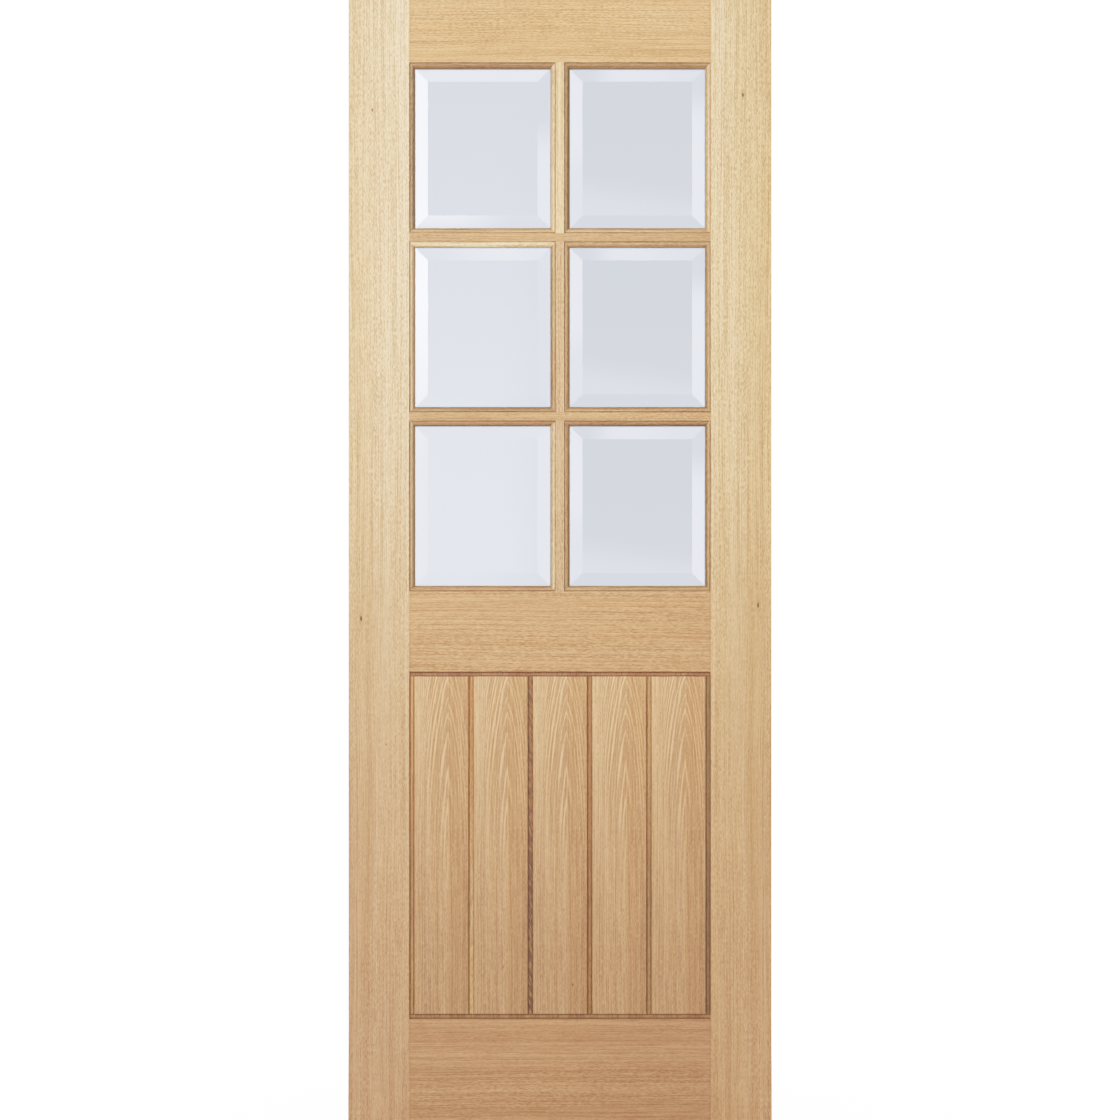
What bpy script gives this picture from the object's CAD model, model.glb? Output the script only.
import math

import bmesh
import bpy
from mathutils import Matrix, Vector


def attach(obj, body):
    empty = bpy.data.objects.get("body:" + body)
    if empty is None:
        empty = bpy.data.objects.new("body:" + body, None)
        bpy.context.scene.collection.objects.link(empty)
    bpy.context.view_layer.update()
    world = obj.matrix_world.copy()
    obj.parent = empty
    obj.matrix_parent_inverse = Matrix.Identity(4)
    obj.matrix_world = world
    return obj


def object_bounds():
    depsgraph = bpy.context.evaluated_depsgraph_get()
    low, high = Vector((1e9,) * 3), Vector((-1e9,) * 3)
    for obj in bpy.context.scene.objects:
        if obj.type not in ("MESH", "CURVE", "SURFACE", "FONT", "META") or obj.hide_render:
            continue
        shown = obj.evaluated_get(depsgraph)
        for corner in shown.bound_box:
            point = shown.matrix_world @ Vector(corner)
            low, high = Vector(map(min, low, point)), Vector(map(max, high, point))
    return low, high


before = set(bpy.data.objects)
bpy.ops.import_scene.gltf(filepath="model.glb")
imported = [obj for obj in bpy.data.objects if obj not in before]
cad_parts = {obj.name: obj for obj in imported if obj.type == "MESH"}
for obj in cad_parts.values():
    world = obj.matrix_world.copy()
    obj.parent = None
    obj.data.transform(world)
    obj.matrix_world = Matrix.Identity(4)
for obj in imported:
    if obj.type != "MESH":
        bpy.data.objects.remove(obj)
cad_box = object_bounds()

# The picture: a square front view, which cuts off a little of the head and the foot
VIEW_WIDTH = 2.0129
VIEW_CENTRE_Z = 1.0225
CAMERA_DISTANCE = 6.0
SENSOR = 36.0
FRONT_FACE_Y = cad_box[0][1]

# Its tone curve is straight up to the shoulder, and then bends towards white
WHITE_LEVEL = 8.0
SHOULDER = 0.30
SHOULDER_LEVELS = (SHOULDER, 0.45, 0.6, 0.8, 1.0, 1.3, 1.7, 2.3, 3.2, 4.5)

# Names of the pieces, and places read off the solids in metres
ROWS = ("top", "middle", "bottom")
COLUMNS = ("left", "right")
PANE_X = {"left": -0.13925, "right": 0.13925}
PANE_Z = {"top": 1.7635, "middle": 1.4415, "bottom": 1.1195}
OPENING_HALF_WIDTH = 0.13175
OPENING_HALF_HEIGHT = 0.1535
RAIL_END = 0.271
BOARD_COUNT = 5
MIDDLE_BOARD = 3
BOARD_WIDTH = 0.0976
BOARD_PITCH = 0.1066
BOARD_LOW_Z = 0.206
BOARD_HIGH_Z = 0.813
BOARD_FACE_Y = 0.016
GROOVE_WIDTH = BOARD_PITCH - BOARD_WIDTH
GROOVE_FLOOR_Y = 0.011
ARRIS = 0.0012
SHARP = 0.0002

# Pin heads in the rear beads
PIN_RADIUS = 0.0008
PIN_LENGTH = 0.002
PIN_SIDES = 16
PIN_FROM_WOOD = 0.0045
PIN_HEAD_Y = 0.01535
PIN_COLOUR = (0.42, 0.40, 0.37, 1)

# Layers of the grain: noise cells a metre across, through and along the fibres, and a step of the seed
GRAIN = {
    "drift": ((7, 7, 2.4), 0),
    "clouds": ((14, 14, 5), 6),
    "bands": ((52, 52, 0.5), 0),
    "rings": ((170, 170, 0.9), 2),
    "lines": ((640, 640, 2.2), 0),
    "flecks": ((760, 760, 150), 0),
    "fibres": ((850, 850, 26), 0),
    "seams": ((260, 260, 2.2), 4),
    "pores": ((2300, 2300, 95), 0),
    "plain": ((16, 16, 1.1), 9),
    "broad": ((24, 24, 0.6), 12),
    "streaks": ((75, 75, 0.9), 14),
}
DRIFT_REACH = 0.014
CLOUD_DEPTH = 0.20
BAND_DEPTH = 0.36
RING_DEPTH = 0.32
LINE_DEPTH = 1.5
FLECK_DEPTH = 1.1
CALM_HEIGHTS = (1.20, 0.70)
CALMER_LINES = -0.55
CALMER_FLECKS = -0.35
CALMER_FIBRES = -0.40

# Shades of a tone from the darkest grain to the lightest, and tints of single marks
OAK_SHADES = (
    (0.08, (0.70, 0.63, 0.56)),
    (0.42, (0.94, 0.93, 0.91)),
    (0.58, (1.06, 1.07, 1.09)),
    (0.92, (1.26, 1.32, 1.40)),
)
WARM_BAND = (0.960, 0.920, 0.860)
SEAM_TINT = (0.80, 0.68, 0.56)
PORE_TINT = (0.64, 0.54, 0.44)
END_GRAIN_TINT = (0.70, 0.62, 0.54)
KNOT_HALO_TINT = (0.74, 0.62, 0.46)
KNOT_TINT = (0.22, 0.17, 0.08)
NO_TINT = (1.0, 1.0, 1.0)

# Gloss of the oak: sanded faces, open pores and sawn edges
SANDED_ROUGHNESS = 0.46
PORE_ROUGHNESS = 0.20
SAWN_ROUGHNESS = 0.50
OAK_SPECULAR = 0.30
FIBRE_BUMP = 0.25
FIBRE_DEPTH = 0.0002

# Stiles: tone as linear reflectance, origin of the figure across and along the grain, and pin knots.
# A knot has its place across and along the grain, its radius and its stretch along the grain.
STILE_SEED = 3.1
STILE_GRAIN = {
    "contrast": 1.2,
    "line": 1.17,
    "warm": (0.915, 0.870, 0.790),
    "calm_foot": True,
    "dull_edges": True,
}
STILES = {
    "left": ((0.602, 0.402, 0.236), (0, 0), (
        ((-0.3373, 1.8312), 0.0024, 1.8),
        ((-0.3576, 0.9174), 0.0026, 2.8),
        ((-0.3127, 0.6911), 0.0013, 1.8),
    )),
    "right": ((0.610, 0.402, 0.222), (0, 0.023), (
        ((-0.3289, 1.8352), 0.0024, 2.2),
        ((-0.3559, 0.9186), 0.0026, 2.8),
    )),
}
STILE_EDGE_TINT = (0.92, 0.89, 0.85)
STILE_FOOT_TINT = (0.97, 0.86, 0.83)

# Rails: tone, seed and contrast of the grain, and tints towards the left and the right end
RAILS = {
    "top": ((0.485, 0.267, 0.122), 1.7, 0.98, (0.950, 0.945, 0.950), (1.045, 1.065, 1.080)),
    "middle": ((0.484, 0.262, 0.127), 7.0, 0.80, NO_TINT, NO_TINT),
    "bottom": ((0.484, 0.262, 0.127), 12.3, 0.70, (1.0, 1.0, 1.03), (0.945, 0.930, 0.955)),
}
JOINT_TINT = (0.90, 0.87, 0.84)

# Bars: tone, axis of the fibres and seed of the grain
BARS = {
    "upper_cross_bar": ((0.380, 0.203, 0.094), "x", 2.9),
    "lower_cross_bar": ((0.431, 0.240, 0.115), "x", 10.6),
    "top_upright_bar": ((0.613, 0.397, 0.214), "z", 4.3),
    "middle_upright_bar": ((0.455, 0.265, 0.140), "z", 10.4),
    "bottom_upright_bar": ((0.455, 0.265, 0.140), "z", 16.5),
}

# Beads: each pane has odd lengths at its left, right, top and bottom.
# On every side, the crown, the quirk by the wood and the slope to the glass have tints of their own.
UPRIGHT_BEAD_SEED = 11.3
LEVEL_BEAD_SEED = 13.9
BEAD_TONES = {
    "dark": (0.285, 0.170, 0.085),
    "umber": (0.340, 0.190, 0.095),
    "brown": (0.380, 0.220, 0.110),
    "plain": (0.437, 0.270, 0.144),
    "light": (0.495, 0.315, 0.175),
    "pale": (0.558, 0.356, 0.202),
    "cream": (0.620, 0.420, 0.250),
    "sapwood": (0.850, 0.630, 0.400),
}
BEAD_CHOICE = {
    ("top", "left"): ("dark", "pale", "umber", "plain"),
    ("top", "right"): ("dark", "pale", "brown", "plain"),
    ("middle", "left"): ("light", "brown", "sapwood", "dark"),
    ("middle", "right"): ("brown", "brown", "light", "brown"),
    ("bottom", "left"): ("plain", "cream", "brown", "brown"),
    ("bottom", "right"): ("brown", "brown", "brown", "plain"),
}
BEAD_CROWNS = (NO_TINT, NO_TINT, (0.80, 0.74, 0.69), NO_TINT)
BEAD_QUIRKS = ((0.36, 0.32, 0.28), (0.84, 0.79, 0.71), (0.96, 0.97, 0.93), (0.86, 0.77, 0.62))
BEAD_SLOPES = ((0.72, 0.70, 0.60), (0.76, 0.73, 0.62), (1.12, 1.15, 1.10), (0.80, 0.73, 0.57))
QUIRK_EDGE = (0.0024, 0.0014)
SLOPE_EDGE = (0.0036, 0.0082)

# Boards: one figure about a heart line, with a shade for each board and a pin knot in two of them
BOARD_TONE = (0.568, 0.333, 0.178)
BOARD_SHADES = (0.97, 0.985, 0.985, 1.025, 1.02)
BOARD_SEED = 7.0
BOARD_SEED_STEP = 0.06
BOARD_GRAIN = {"contrast": 0.86, "line": 0.87, "fleck": 0.65}
BOARD_KNOTS = {2: (0.053, 0.291), 3: (0.072, 0.259)}
BOARD_KNOT_RADIUS = 0.0012
BOARD_KNOT_STRETCH = 2.2
HEART = 0.0615
PAST_HEART_TINT = (0.915, 0.845, 0.750)
NEAR_HEART_TINT = (1.05, 1.06, 1.07)
BOARD_HEAD_TINT = (1.05, 1.06, 1.06)
BOARD_FOOT_TINT = (0.83, 0.80, 0.76)
CREST_TINT = (1.10, 1.09, 1.18)

# Grooves round the boards. The one on the right of each board has tints near the head and near the foot:
# the first is nearly closed at the foot, and the second has torn fibres.
CLOSED_GROOVE = 1
TORN_GROOVE = 2
GROOVE_TINTS = {
    1: ((0.940, 0.955, 0.860), (1.30, 1.52, 1.72)),
    2: ((0.580, 0.540, 0.400), (0.64, 0.565, 0.45)),
    3: ((0.685, 0.695, 0.600), (0.68, 0.63, 0.50)),
    4: ((0.900, 1.050, 1.090), (0.72, 0.76, 0.70)),
    5: ((0.470, 0.510, 0.450), (0.42, 0.40, 0.32)),
}
GROOVE_FLOOR_TINT = (1.04, 0.875, 0.74)
GROOVE_SHADOW_TINT = (0.42, 0.385, 0.235)
GROOVE_FOOT_TINT = (1.20, 1.20, 1.15)
HEAD_GROOVE_TINT = (0.64, 0.61, 0.59)
LEFT_GROOVE_TINT = (0.93, 0.925, 0.84)
TORN_TINT = (0.50, 0.42, 0.31)
TORN_CELLS = (160, 160, 140)
TORN_SLANT = 2.2

# Other finishes
DOWEL_TONE = (0.600, 0.440, 0.280)
LEVEL_DOWEL_SEED = 21.0
CROSSING_DOWEL_SEED = 23.0
GLASS_COLOUR = (0.955, 0.975, 1.0, 1)
GLASS_IOR = 1.52
TAPE_CELLS = (1400, 1400, 1400)
TAPE_SHADES = ((0.3, (0.62, 0.61, 0.59)), (0.7, (0.80, 0.79, 0.77)))

# Floor, lamps and room
FLOOR_RADIUS = 1.6
FLOOR_SIDES = 96
FLOOR_COLOUR = (0.90, 0.90, 0.90, 1)
FLOOR_FADE = (0.35, 1.5)
FLOOR_GLOW = 2.2
LAMP_COLOUR = (0.86, 1.0, 1.03)
LAMPS = {
    "key": {"place": (-1.10, -1.30, 1.90), "aim": (-0.1, 0, 1.5), "size": (0.7, 1.0), "watts": 22},
    "overhead": {"place": (0, -1.10, 3.20), "aim": (0, -0.1, 1.8), "size": (2.2, 0.9), "watts": 15},
    "front": {"place": (0.10, -1.30, 1.55), "aim": (0.05, 0, 1.45), "size": (0.8, 0.8), "watts": 13,
              "mirrored": False},
    "rear": {"place": (0.6, 2.20, 1.90), "aim": (0, 0, 1.1), "size": (1.4, 1.4), "watts": 55,
             "mirrored": False},
}
ROOM_COLOUR = (1.16, 0.957, 0.88)
ROOM_LEVEL = 0.46
SHEEN_COLOUR = (0.97, 1.0, 1.03)
MIRRORED_COLOUR = (0.97, 1.0, 1.25)
THROUGH_COLOUR = (0.955, 1.0, 1.115)
THROUGH_LEVEL = 0.896
THROUGH_LEFT = 0.089
BARE_WALL = 0.6

# Rows of panes, in the height of the directions that they mirror
MIRRORED_ROW = 0.05367
MIRRORED_ROW_LOW = -0.0081


class Graph:
    """A node tree, with short calls for the nodes used here."""

    def __init__(self, tree):
        self.tree = tree

    def new(self, kind, **settings):
        made = self.tree.nodes.new(kind)
        for key, value in settings.items():
            setattr(made, key, value)
        return made

    def feed(self, socket, value):
        """Links a socket, or sets a plain number or colour on it."""
        if isinstance(value, bpy.types.NodeSocket):
            self.tree.links.new(value, socket)
        else:
            socket.default_value = value

    def math(self, operation, *values):
        made = self.new("ShaderNodeMath", operation=operation)
        for socket, value in zip(made.inputs, values):
            self.feed(socket, value)
        return made.outputs[0]

    def add(self, *values):
        total = values[0]
        for value in values[1:]:
            total = self.math("ADD", total, value)
        return total

    def times(self, *values):
        total = values[0]
        for value in values[1:]:
            total = self.math("MULTIPLY", total, value)
        return total

    def size(self, value):
        return self.math("ABSOLUTE", value)

    def length(self, a, b):
        return self.math("SQRT", self.add(self.times(a, a), self.times(b, b)))

    def rise(self, value, low, high):
        """0 at low and 1 at high, with an eased step between them."""
        made = self.new("ShaderNodeMapRange", interpolation_type="SMOOTHSTEP", clamp=True)
        self.feed(made.inputs["Value"], value)
        made.inputs["From Min"].default_value = low
        made.inputs["From Max"].default_value = high
        return made.outputs["Result"]

    def rest(self, factor):
        """1 where a factor is 0, and 0 where it is 1."""
        return self.rise(factor, 1.0, 0.0)

    def combine(self, x, y, z):
        made = self.new("ShaderNodeCombineXYZ")
        for socket, value in zip(made.inputs, (x, y, z)):
            self.feed(socket, value)
        return made.outputs[0]

    def split(self, which):
        """The three parts of a texture coordinate."""
        source = self.new("ShaderNodeTexCoord")
        parts = self.new("ShaderNodeSeparateXYZ")
        self.feed(parts.inputs[0], source.outputs[which])
        return tuple(parts.outputs)

    def noise(self, vector, cells, seed=0.0, detail=1.0):
        """Noise about 0, with its cells a metre given for each axis."""
        mapping = self.new("ShaderNodeMapping")
        self.feed(mapping.inputs["Vector"], vector)
        mapping.inputs["Scale"].default_value = cells
        mapping.inputs["Location"].default_value = (seed, 0.7 * seed, 1.3 * seed)
        made = self.new("ShaderNodeTexNoise")
        self.feed(made.inputs["Vector"], mapping.outputs[0])
        made.inputs["Scale"].default_value = 1.0
        made.inputs["Detail"].default_value = detail
        made.inputs["Roughness"].default_value = 0.5
        return self.math("SUBTRACT", made.outputs["Fac"], 0.5)

    def tint(self, colour, factor, tone):
        """Multiplies a colour by a tone, as far as the factor says."""
        made = self.new("ShaderNodeMix", data_type="RGBA", blend_type="MULTIPLY")
        self.feed(made.inputs["Factor"], factor)
        self.feed(made.inputs[6], colour)
        made.inputs[7].default_value = (*tone, 1)
        return made.outputs[2]

    def ramp(self, factor, stops):
        made = self.new("ShaderNodeValToRGB")
        self.feed(made.inputs[0], factor)
        elements = made.color_ramp.elements
        while len(elements) < len(stops):
            elements.new(0.5)
        for element, (place, colour) in zip(elements, stops):
            element.position = place
            element.color = (*colour, 1)
        return made.outputs[0]

    def mix_shaders(self, factor, first, second):
        made = self.new("ShaderNodeMixShader")
        for socket, value in zip(made.inputs, (factor, first, second)):
            self.feed(socket, value)
        return made.outputs[0]


class Finish(Graph):
    """A material with its main shader."""

    def __init__(self, name):
        self.material = bpy.data.materials.new(name)
        self.material.use_nodes = True
        super().__init__(self.material.node_tree)
        self.shader = self.tree.nodes["Principled BSDF"]

    def set(self, name, value):
        self.feed(self.shader.inputs[name], value)


def shade(tone, *parts):
    return tuple(c * k for c, k in zip(tone, parts))


def oak(name, tone, along, seed, origin=(0, 0), mirror=False, figure=None, marks=None, contrast=1.0,
        line=1.0, fleck=1.0, warm=WARM_BAND, calm_foot=False, dull_edges=False):
    """Oak with its fibres along one axis: bands, lines, flecks, pores and darker end grain.
    The origin is a place across and along the grain, so that matched pieces can share one figure.
    The warm tone is that of the broad bands, and a calm foot has fainter flecks low on the door.
    Dull edges are sawn rougher than the sanded faces."""
    f = Finish(name)
    x, y, z = f.split("Object")
    across, length = (x, z) if along == "z" else (z, x)
    if mirror:
        across = f.times(across, -1.0)
    across = f.add(across, -origin[0])
    length = f.add(length, -origin[1])

    def layer(kind, place):
        cells, seed_step = GRAIN[kind]
        return f.noise(place, cells, seed + seed_step)

    # The fibres drift, so that no line is ruled straight
    drift = layer("drift", f.combine(across, y, length))
    bent = f.add(across, f.times(drift, DRIFT_REACH))
    grain = f.combine(bent, y, length)
    fibres = layer("fibres", grain)
    seams = f.rise(layer("seams", grain), 0.13, 0.22)
    pores = f.rise(layer("pores", grain), 0.08, 0.20)
    plain = f.rise(layer("plain", grain), -0.16, 0.12)
    broad = f.add(layer("broad", grain), layer("streaks", grain))
    calm = f.rise(length, *CALM_HEIGHTS) if calm_foot else 0.0
    flecked = f.add(FLECK_DEPTH, f.times(plain, FLECK_DEPTH))

    def calmer(much):
        return f.add(1.0, f.times(calm, much))

    value = f.add(
        0.5,
        f.times(layer("clouds", grain), CLOUD_DEPTH * contrast),
        f.times(layer("bands", grain), BAND_DEPTH * contrast),
        f.times(layer("rings", grain), RING_DEPTH * contrast),
        f.times(layer("lines", grain), calmer(CALMER_LINES), LINE_DEPTH * line * contrast),
        f.times(layer("flecks", grain), flecked, calmer(CALMER_FLECKS), fleck * contrast),
        f.times(fibres, calmer(CALMER_FIBRES), contrast),
    )
    if figure:
        value = f.add(value, figure(f, across, length, drift))
    colour = f.ramp(value, [(place, shade(tone, *parts)) for place, parts in OAK_SHADES])
    colour = f.tint(colour, f.rise(broad, -0.36, 0.36), warm)
    colour = f.tint(colour, f.times(seams, 0.45), SEAM_TINT)
    colour = f.tint(colour, f.times(pores, 0.50), PORE_TINT)
    if marks:
        colour = marks(f, colour, across, y, length)
    end = f.split("Normal")[2 if along == "z" else 0]
    colour = f.tint(colour, f.rise(f.size(end), 0.80, 0.95), END_GRAIN_TINT)

    rough = f.add(SANDED_ROUGHNESS, f.times(pores, PORE_ROUGHNESS))
    if dull_edges:
        facing = f.size(f.split("Normal")[1])
        rough = f.add(rough, f.times(f.rise(facing, 0.80, 0.40), SAWN_ROUGHNESS))
    f.set("Base Color", colour)
    f.set("Roughness", rough)
    f.set("Specular IOR Level", OAK_SPECULAR)
    bump = f.new("ShaderNodeBump")
    bump.inputs["Strength"].default_value = FIBRE_BUMP
    bump.inputs["Distance"].default_value = FIBRE_DEPTH
    f.feed(bump.inputs["Height"], f.add(f.times(fibres, 0.5), f.times(pores, -1.0)))
    f.set("Normal", bump.outputs[0])
    return f.material


def pin_knot(f, colour, across, length, place, radius, stretch):
    """A small dark knot with a warmer halo, stretched along the grain."""
    aside = f.add(across, -place[0])
    beyond = f.times(f.add(length, -place[1]), 1 / stretch)
    distance = f.length(aside, beyond)
    halo = f.rise(distance, radius * 3.0, radius)
    core = f.rise(distance, radius, radius * 0.4)
    colour = f.tint(colour, f.times(halo, 0.25), KNOT_HALO_TINT)
    return f.tint(colour, core, KNOT_TINT)


def stile_marks(knots):
    """Pin knots, and a slow change of tone from the inner edge to the outer and down to the foot."""
    def mark(f, colour, across, depth, length):
        colour = f.tint(colour, f.rise(across, -0.300, -0.375), STILE_EDGE_TINT)
        colour = f.tint(colour, f.rise(length, 1.50, 0.20), STILE_FOOT_TINT)
        for place, radius, stretch in knots:
            colour = pin_knot(f, colour, across, length, place, radius, stretch)
        return colour
    return mark


def rail_marks(left_tint, right_tint):
    """The soft dark joint where a rail meets a stile, and a slow change of tone along the rail."""
    def mark(f, colour, across, depth, length):
        colour = f.tint(colour, f.rise(length, 0.02, -0.14), left_tint)
        colour = f.tint(colour, f.rise(length, -0.06, 0.16), right_tint)
        joint = f.rise(f.size(length), RAIL_END - 0.0042, RAIL_END - 0.0014)
        return f.tint(colour, joint, JOINT_TINT)
    return mark


def bead_marks(centre, half, *sides):
    """Marks of the two facing beads of a pane, the low one first: the tone, quirk and slope tints of each."""
    def mark(f, colour, across, depth, length):
        offset = f.add(across, -centre)
        from_wood = f.math("SUBTRACT", half, f.size(offset))
        quirk = f.rise(from_wood, *QUIRK_EDGE)
        slope = f.rise(from_wood, *SLOPE_EDGE)
        for reach, (tone, quirk_tint, slope_tint) in zip((-0.01, 0.01), sides):
            here = f.rise(offset, -reach, reach)
            colour = f.tint(colour, here, tone)
            colour = f.tint(colour, f.times(here, quirk), quirk_tint)
            colour = f.tint(colour, f.times(here, slope), slope_tint)
        return colour
    return mark


def arches(f, across, length, drift):
    """Figure of a plain-sawn board: nested arches about the heart line, straightening towards the foot."""
    aside = f.add(across, -HEART)
    up = f.times(f.add(length, -BOARD_LOW_Z), 1 / (BOARD_HIGH_Z - BOARD_LOW_Z))
    climb = f.times(f.math("POWER", f.math("MAXIMUM", up, 0.0), 3.6), 6.4)
    spread = f.math("POWER", f.length(aside, 0.0001), 1.35)
    right = f.rise(aside, -0.0005, 0.0005)
    phase = f.add(f.times(spread, 500), climb, f.times(drift, 1.2), f.times(right, 0.4))
    place = f.combine(phase, f.times(length, 5.0), right)
    wobble = f.noise(place, (0.8, 1, 3), 5.0)
    wave = f.math("SINE", f.times(f.add(phase, f.times(wobble, 1.6)), 2 * math.pi))
    present = f.rise(f.noise(place, (1.5, 1, 3), 8.0), -0.20, 0.10)
    streak = f.add(f.times(f.rise(wave, -0.1, 0.95), present), -0.30)
    near = f.rise(f.size(aside), 0.055, 0.022)
    fainter_right = f.add(1.0, f.times(right, -0.45))
    stronger_head = f.add(0.08, f.times(f.rise(up, 0.30, 0.90), 1.15))
    below_head = f.rise(length, BOARD_HIGH_Z + 0.0006, BOARD_HIGH_Z - 0.0006)
    return f.times(streak, near, fainter_right, stronger_head, below_head)


def distance_to_wall(f, across, length):
    """How far a point in the grooves round a board's face is from the nearer wall of its groove.
    The head and foot grooves run on past the upright ones."""
    def inside(value, low_face, high_face):
        past_high = f.size(f.add(value, -high_face - GROOVE_WIDTH / 2))
        past_low = f.size(f.add(value, -low_face + GROOVE_WIDTH / 2))
        return f.math("SUBTRACT", GROOVE_WIDTH / 2, f.math("MINIMUM", past_high, past_low))
    upright = inside(across, 0.0, BOARD_WIDTH)
    level = inside(length, BOARD_LOW_Z, BOARD_HIGH_Z)
    on_level = f.rise(level, -0.0001, 0.0001)
    return f.add(f.times(level, on_level), f.times(upright, f.rest(on_level)))


def face_marks(f, colour, across, length):
    """Darker wood past the heart line of a board, lighter wood before it, and a darker foot."""
    past_heart = f.rise(across, HEART - 0.0018, HEART + 0.0018)
    darker = f.add(0.55, f.times(f.rise(length, 0.30, 0.75), 0.20))
    near_heart = f.rise(across, HEART - 0.018, HEART - 0.003)
    colour = f.tint(colour, f.times(past_heart, darker), PAST_HEART_TINT)
    colour = f.tint(colour, f.times(near_heart, f.rest(past_heart)), NEAR_HEART_TINT)
    colour = f.tint(colour, f.rise(length, 0.76, 0.28), BOARD_FOOT_TINT)
    return f.tint(colour, f.times(f.rise(length, 0.62, 0.78), f.rest(past_heart)), BOARD_HEAD_TINT)


def groove_marks(f, colour, number, across, depth, length):
    """Wood in the grooves round a board: dark beside the walls, and with its own tints at each groove."""
    in_groove = f.rise(f.size(depth), BOARD_FACE_Y - ARRIS, GROOVE_FLOOR_Y + ARRIS)
    warmer = f.add(0.35, f.times(f.rise(length, 0.30, 0.70), 0.65))
    colour = f.tint(colour, f.times(in_groove, warmer), GROOVE_FLOOR_TINT)

    above_foot = f.rise(length, BOARD_LOW_Z - SHARP, BOARD_LOW_Z + SHARP)
    below_head = f.rise(length, BOARD_HIGH_Z + SHARP, BOARD_HIGH_Z - SHARP)
    upright = f.times(in_groove, above_foot, below_head)
    before = f.times(f.rise(across, SHARP, -SHARP), upright)
    beyond = f.times(f.rise(across, BOARD_WIDTH - SHARP, BOARD_WIDTH + SHARP), upright)
    far_wall = f.times(f.rise(across, BOARD_WIDTH + 0.0044, BOARD_WIDTH + 0.0046), upright)
    low = f.rise(length, 0.74, 0.40)
    lit = f.times(far_wall, f.add(0.50, f.times(low, 0.45 if number == CLOSED_GROOVE else -0.40)))
    beside = f.rise(distance_to_wall(f, across, length), 0.0030, 0.0014)
    shadow = f.times(beside, in_groove, f.math("SUBTRACT", 1.0, lit))
    colour = f.tint(colour, shadow, GROOVE_SHADOW_TINT)

    head = f.rise(length, BOARD_HIGH_Z - SHARP, BOARD_HIGH_Z + SHARP)
    colour = f.tint(colour, f.times(head, in_groove), HEAD_GROOVE_TINT)
    crest = f.rise(length, BOARD_HIGH_Z - 0.0022, BOARD_HIGH_Z - 0.0012)
    crest = f.times(crest, f.rise(in_groove, 0.6, 0.0), f.rest(head))
    colour = f.tint(colour, crest, CREST_TINT)

    head_tint, foot_tint = GROOVE_TINTS[number]
    colour = f.tint(colour, f.times(beyond, f.rest(low)), head_tint)
    colour = f.tint(colour, f.times(beyond, low), foot_tint)
    colour = f.tint(colour, f.times(before, low), LEFT_GROOVE_TINT)
    colour = f.tint(colour, f.times(upright, f.rise(length, 0.42, 0.28)), GROOVE_FOOT_TINT)
    if number == TORN_GROOVE:
        slanted = f.add(length, f.times(across, TORN_SLANT))
        torn = f.rise(f.noise(f.combine(across, depth, slanted), TORN_CELLS, 3.0), -0.08, 0.10)
        colour = f.tint(colour, f.times(beyond, torn), TORN_TINT)
    return colour


def board_marks(number):
    """Marks of one board: its face, the grooves round it, and its pin knot if it has one."""
    def mark(f, colour, across, depth, length):
        colour = face_marks(f, colour, across, length)
        colour = groove_marks(f, colour, number, across, depth, length)
        if number in BOARD_KNOTS:
            colour = pin_knot(f, colour, across, length, BOARD_KNOTS[number],
                              BOARD_KNOT_RADIUS, BOARD_KNOT_STRETCH)
        return colour
    return mark


def glass():
    """Clear float glass with polished bevels."""
    f = Finish("bevelled_glass")
    f.set("Base Color", GLASS_COLOUR)
    f.set("Transmission Weight", 1.0)
    f.set("Roughness", 0.0)
    f.set("IOR", GLASS_IOR)
    return f.material


def tape():
    """White closed-cell foam tape."""
    f = Finish("foam_tape")
    cells = f.noise(f.combine(*f.split("Object")), TAPE_CELLS, detail=2.0)
    f.set("Base Color", f.ramp(f.add(cells, 0.5), TAPE_SHADES))
    f.set("Roughness", 0.85)
    return f.material


def give(material, *names):
    for name in names:
        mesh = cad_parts[name].data
        mesh.materials.clear()
        mesh.materials.append(material)


def dress_frame():
    """Stiles, rails and bars. The right stile is the left one's match, turned over."""
    for side, (tone, origin, knots) in STILES.items():
        wood = oak(f"oak_{side}_stile", tone, "z", STILE_SEED, origin, side == "right",
                   marks=stile_marks(knots), **STILE_GRAIN)
        give(wood, f"{side}_stile")
    for row, (tone, seed, contrast, left_tint, right_tint) in RAILS.items():
        wood = oak(f"oak_{row}_rail", tone, "x", seed, marks=rail_marks(left_tint, right_tint),
                   contrast=contrast, dull_edges=True)
        give(wood, f"{row}_rail")
    for bar, (tone, along, seed) in BARS.items():
        give(oak(f"oak_{bar}", tone, along, seed), bar)


def dress_glazing():
    """Panes, tapes and beads. The rear beads have the same wood as the front ones."""
    pane_glass = glass()
    pane_tape = tape()
    for row in ROWS:
        for column in COLUMNS:
            pane = f"{row}_{column}"
            choices = zip(BEAD_CHOICE[row, column], BEAD_CROWNS)
            tones = [shade(BEAD_TONES[choice], *crown) for choice, crown in choices]
            left, right, top, bottom = zip(tones, BEAD_QUIRKS, BEAD_SLOPES)
            beside = bead_marks(PANE_X[column], OPENING_HALF_WIDTH, left, right)
            above = bead_marks(PANE_Z[row], OPENING_HALF_HEIGHT, bottom, top)
            upright = oak(f"oak_{pane}_upright_bead", NO_TINT, "z", UPRIGHT_BEAD_SEED, marks=beside)
            level = oak(f"oak_{pane}_level_bead", NO_TINT, "x", LEVEL_BEAD_SEED, marks=above)
            give(pane_glass, f"{pane}_pane")
            give(pane_tape, f"{pane}_glazing_tape")
            for side in ("front", "rear"):
                give(upright, f"{side}_{pane}_upright_beads")
                give(level, f"{side}_{pane}_level_beads")


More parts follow.
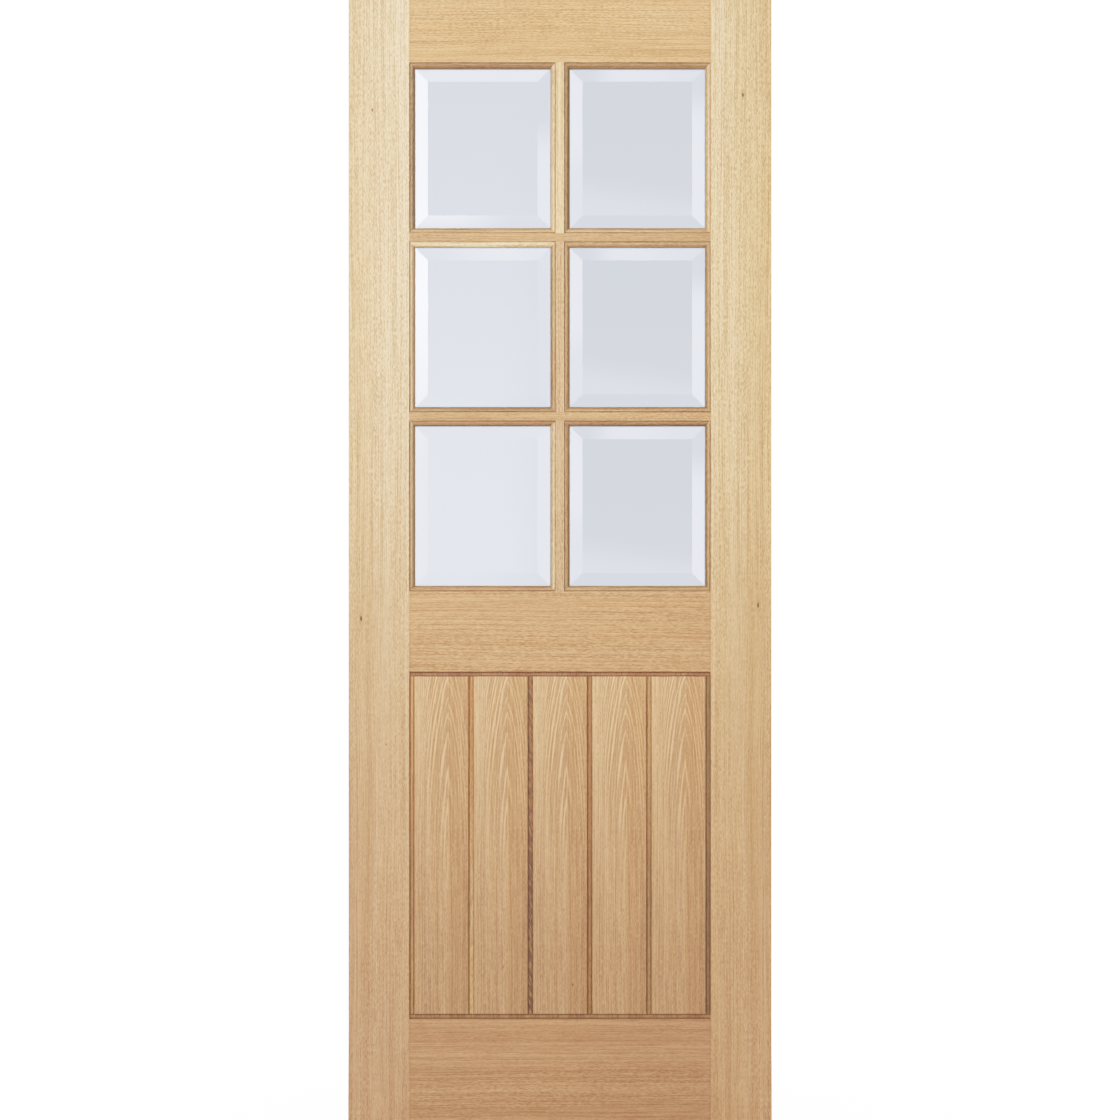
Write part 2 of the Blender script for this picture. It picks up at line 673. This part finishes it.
def dress_panel():
    for number in range(1, BOARD_COUNT + 1):
        left_edge = (number - MIDDLE_BOARD) * BOARD_PITCH - BOARD_WIDTH / 2
        tone = shade(BOARD_TONE, *[BOARD_SHADES[number - 1]] * 3)
        seed = BOARD_SEED + BOARD_SEED_STEP * number
        wood = oak(f"oak_board_{number}", tone, "z", seed, (left_edge, 0), figure=arches,
                   marks=board_marks(number), **BOARD_GRAIN)
        give(wood, f"panel_board_{number}")


def dress_dowels():
    give(oak("beech_dowel", DOWEL_TONE, "x", LEVEL_DOWEL_SEED), "rail_dowels", "bar_dowels")
    give(oak("beech_crossing_dowel", DOWEL_TONE, "z", CROSSING_DOWEL_SEED), "crossing_dowels")


def piece_from(shape, name):
    mesh = bpy.data.meshes.new(name)
    shape.to_mesh(mesh)
    shape.free()
    piece = bpy.data.objects.new(name, mesh)
    bpy.context.scene.collection.objects.link(piece)
    return piece


def bead_pins():
    """Small round pin heads along the rear beads, two in each length."""
    shape = bmesh.new()
    aside = OPENING_HALF_WIDTH - PIN_FROM_WOOD
    above = OPENING_HALF_HEIGHT - PIN_FROM_WOOD
    ring = []
    for sign in (-1, 1):
        ring += [(sign * aside, step * OPENING_HALF_HEIGHT / 2) for step in (-1, 1)]
        ring += [(step * OPENING_HALF_WIDTH / 2, sign * above) for step in (-1, 1)]
    lie_back = Matrix.Rotation(math.pi / 2, 4, "X")
    centre_y = PIN_HEAD_Y - PIN_LENGTH / 2
    for row in ROWS:
        for column in COLUMNS:
            for x, z in ring:
                place = Matrix.Translation((PANE_X[column] + x, centre_y, PANE_Z[row] + z))
                bmesh.ops.create_cone(shape, cap_ends=True, segments=PIN_SIDES, radius1=PIN_RADIUS,
                                      radius2=PIN_RADIUS, depth=PIN_LENGTH, matrix=place @ lie_back)
    piece = piece_from(shape, "bead_pins")
    f = Finish("pin_steel")
    f.set("Base Color", PIN_COLOUR)
    f.set("Metallic", 1.0)
    f.set("Roughness", 0.38)
    piece.data.materials.append(f.material)
    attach(piece, "root")


def floor():
    """Pale floor that fades out into the white round it."""
    shape = bmesh.new()
    bmesh.ops.create_circle(shape, cap_ends=True, segments=FLOOR_SIDES, radius=FLOOR_RADIUS)
    piece = piece_from(shape, "floor")
    f = Finish("pale_floor")
    x, y, _ = f.split("Object")
    seen = f.new("ShaderNodeLightPath").outputs["Is Camera Ray"]
    f.set("Base Color", FLOOR_COLOUR)
    f.set("Roughness", 0.7)
    f.set("Emission Color", (1, 1, 1, 1))
    f.set("Emission Strength", f.times(seen, FLOOR_GLOW))
    clear = f.new("ShaderNodeBsdfTransparent")
    faded = f.rise(f.length(x, y), *FLOOR_FADE)
    mixed = f.mix_shaders(faded, f.shader.outputs[0], clear.outputs[0])
    f.feed(f.tree.nodes["Material Output"].inputs["Surface"], mixed)
    piece.data.materials.append(f.material)


def softbox(name, place, aim, size, watts, mirrored=True):
    light = bpy.data.lights.new(name, "AREA")
    light.shape = "RECTANGLE"
    light.size, light.size_y = size
    light.energy = watts
    light.color = LAMP_COLOUR
    lamp = bpy.data.objects.new(name, light)
    lamp.location = place
    lamp.rotation_euler = (Vector(aim) - Vector(place)).to_track_quat("-Z", "Y").to_euler()
    lamp.visible_glossy = mirrored
    lamp.visible_transmission = mirrored
    bpy.context.scene.collection.objects.link(lamp)


def flat_cards(g, x, z, row, on_left, on_right):
    """Seen in the flat panes: a broad glow at the left, and a slanting one low in each pane at the right."""
    broad = g.times(on_left, g.rise(z, 0.165, 0.0), g.rise(x, 0.010, -0.020), 5.2)
    slanting = g.times(g.rise(g.add(row, g.times(x, 3.0)), 0.33, 0.13), 3.0)
    slanting = g.times(on_right, g.add(slanting, g.times(g.rise(row, 0.60, 0.10), 0.8)))
    return g.times(g.rise(z, -0.03, -0.02), g.rise(z, 0.18, 0.17), g.add(broad, slanting))


def high_cards(g, x, z, on_left, on_right):
    """Seen in the top bevels."""
    swell = g.add(-2.0, g.times(g.rise(x, -0.040, -0.016), 4.4), g.times(g.rise(x, -0.015, -0.008), -2.4))
    swell = g.times(swell, g.rise(z, 0.23, 0.24), g.rise(z, 0.29, 0.28))
    left = g.times(on_left, g.add(4.7, g.times(g.rise(z, 0.22, 0.30), 2.3), swell))
    right = g.add(1.8, g.times(g.rise(x, 0.008, 0.017), 5.9), g.times(g.rise(x, 0.022, 0.040), -2.3))
    return g.times(g.rise(z, 0.17, 0.18), g.add(left, g.times(on_right, right)))


def low_cards(g, x, z, on_left, on_right):
    """Seen in the bottom bevels, with a bright card under the top left pane."""
    top_row = g.rise(z, -0.095, -0.085)
    bright = g.times(g.add(1.8, g.times(g.rise(x, -0.013, -0.033), 7.4)),
                     g.add(0.45, g.times(g.rise(z, -0.070, -0.060), 1.15)))
    pale = g.times(g.rise(x, 0.012, -0.030), 4.6)
    left = g.add(g.times(top_row, bright), g.times(g.rest(top_row), pale))
    return g.times(g.rise(z, -0.02, -0.03), g.add(g.times(on_left, left), g.times(on_right, 1.3)))


def left_cards(g, x, z, row):
    """Seen in the left bevels, further out by the left panes than by the right ones."""
    far = g.add(9.3, g.times(g.rise(z, 0.025, 0.085), 20.0), g.times(g.rise(z, 0.085, 0.115), -6.5))
    near = g.add(6.2, g.times(g.rise(row, 0.25, 0.50), 3.5))
    return g.add(g.times(g.rise(x, -0.18, -0.19), far), g.times(g.rise(x, -0.19, -0.18), near))


def right_cards(g, x, z, row):
    """Seen in the right bevels, further out by the right panes than by the left ones."""
    far = g.add(0.6, g.times(g.rise(row, 0.78, 0.54), 7.2))
    near = g.add(3.0, g.times(g.rise(z, 0.094, 0.099), 3.9), g.times(g.rise(z, 0.046, 0.040), 3.2))
    near = g.times(near, g.rise(z, 0.133, 0.118))
    return g.add(g.times(g.rise(x, 0.18, 0.19), far), g.times(g.rise(x, 0.19, 0.18), near))


def glazing_cards(g, x, z):
    """Brightness of the pale cards before the door, as the flat panes and their bevels mirror them.
    Places are parts of a direction, and each glow ends with its strength."""
    row = g.math("FRACT", g.times(g.add(z, -MIRRORED_ROW_LOW), 1 / MIRRORED_ROW))
    on_left = g.rise(x, 0.002, -0.002)
    on_right = g.rise(x, -0.002, 0.002)
    middle = g.add(
        flat_cards(g, x, z, row, on_left, on_right),
        high_cards(g, x, z, on_left, on_right),
        low_cards(g, x, z, on_left, on_right),
    )
    return g.add(
        g.times(g.rise(x, -0.09, -0.08), g.rise(x, 0.09, 0.08), middle),
        g.times(g.rise(x, -0.08, -0.09), left_cards(g, x, z, row)),
        g.times(g.rise(x, 0.08, 0.09), right_cards(g, x, z, row)),
    )


def sheen_cards(g, x, z):
    """Brightness of the same cards, softer, as the wood's sheen gathers them."""
    beside = g.math("MAXIMUM", g.rise(x, 0.05, 0.15), g.rise(x, 0.0, -0.13))
    above = g.rise(z, 0.14, 0.24)
    below = g.times(g.rise(z, -0.01, -0.05), g.rise(x, 0.01, -0.02), 0.9)
    cards = g.math("MAXIMUM", g.math("MAXIMUM", beside, above), below)
    bright = g.times(g.rise(x, -0.17, -0.19), g.rise(z, 0.03, 0.05))
    glow = g.times(g.rise(z, 0.12, 0.02), g.rise(x, 0.01, -0.02))
    return g.add(g.times(cards, 6.2), g.times(bright, 15.0), g.times(glow, 2.2))


def surround():
    """White room: even light on the wood, pale cards that the bevels mirror, and a clear white ground."""
    world = bpy.data.worlds.new("studio")
    world.use_nodes = True
    bpy.context.scene.world = world
    g = Graph(world.node_tree)
    x, y, z = g.split("Generated")
    rays = g.new("ShaderNodeLightPath")

    def light(colour, strength):
        made = g.new("ShaderNodeBackground")
        made.inputs["Color"].default_value = (*colour, 1)
        g.feed(made.inputs["Strength"], strength)
        return made.outputs[0]

    def pick(which, otherwise, seen):
        return g.mix_shaders(rays.outputs[which], otherwise, seen)

    behind_camera = g.rise(y, -0.80, -0.92)
    sheen = g.add(BARE_WALL, g.times(behind_camera, sheen_cards(g, x, z)))
    mirrored = g.add(BARE_WALL, g.times(behind_camera, glazing_cards(g, x, z)))
    through = g.add(THROUGH_LEVEL, g.times(g.rise(x, 0.006, -0.006), THROUGH_LEFT))

    gloss = pick("Is Singular Ray", light(SHEEN_COLOUR, sheen), light(MIRRORED_COLOUR, mirrored))
    shown = pick("Is Glossy Ray", light(ROOM_COLOUR, ROOM_LEVEL), gloss)
    shown = pick("Is Transmission Ray", shown, light(THROUGH_COLOUR, through))
    shown = pick("Is Camera Ray", shown, light((1, 1, 1), WHITE_LEVEL))
    g.feed(g.tree.nodes["World Output"].inputs["Surface"], shown)


def lamps():
    """A key at the upper left, a bank overhead, a little front fill, and a fill behind for the rear face."""
    for name, settings in LAMPS.items():
        softbox(name, **settings)


def camera():
    data = bpy.data.cameras.new("camera")
    data.sensor_width = SENSOR
    data.lens = SENSOR * CAMERA_DISTANCE / VIEW_WIDTH
    lens = bpy.data.objects.new("camera", data)
    lens.location = (0, FRONT_FACE_Y - CAMERA_DISTANCE, VIEW_CENTRE_Z)
    lens.rotation_euler = (math.pi / 2, 0, 0)
    bpy.context.scene.collection.objects.link(lens)
    bpy.context.scene.camera = lens


def film():
    """Tone curve of the picture: straight in the shadows, with a soft shoulder up to white."""
    view = bpy.context.scene.view_settings
    view.view_transform = "Standard"
    view.look = "None"
    view.use_curve_mapping = True
    view.curve_mapping.white_level = (WHITE_LEVEL, WHITE_LEVEL, WHITE_LEVEL)
    curve = view.curve_mapping.curves[3]
    room = 1 - SHOULDER
    for level in SHOULDER_LEVELS:
        shown = SHOULDER + room * (1 - math.exp((SHOULDER - level) / room))
        curve.points.new(level / WHITE_LEVEL, shown)
    view.curve_mapping.update()


dress_frame()
dress_glazing()
dress_panel()
dress_dowels()
bead_pins()
floor()
surround()
lamps()
camera()
film()
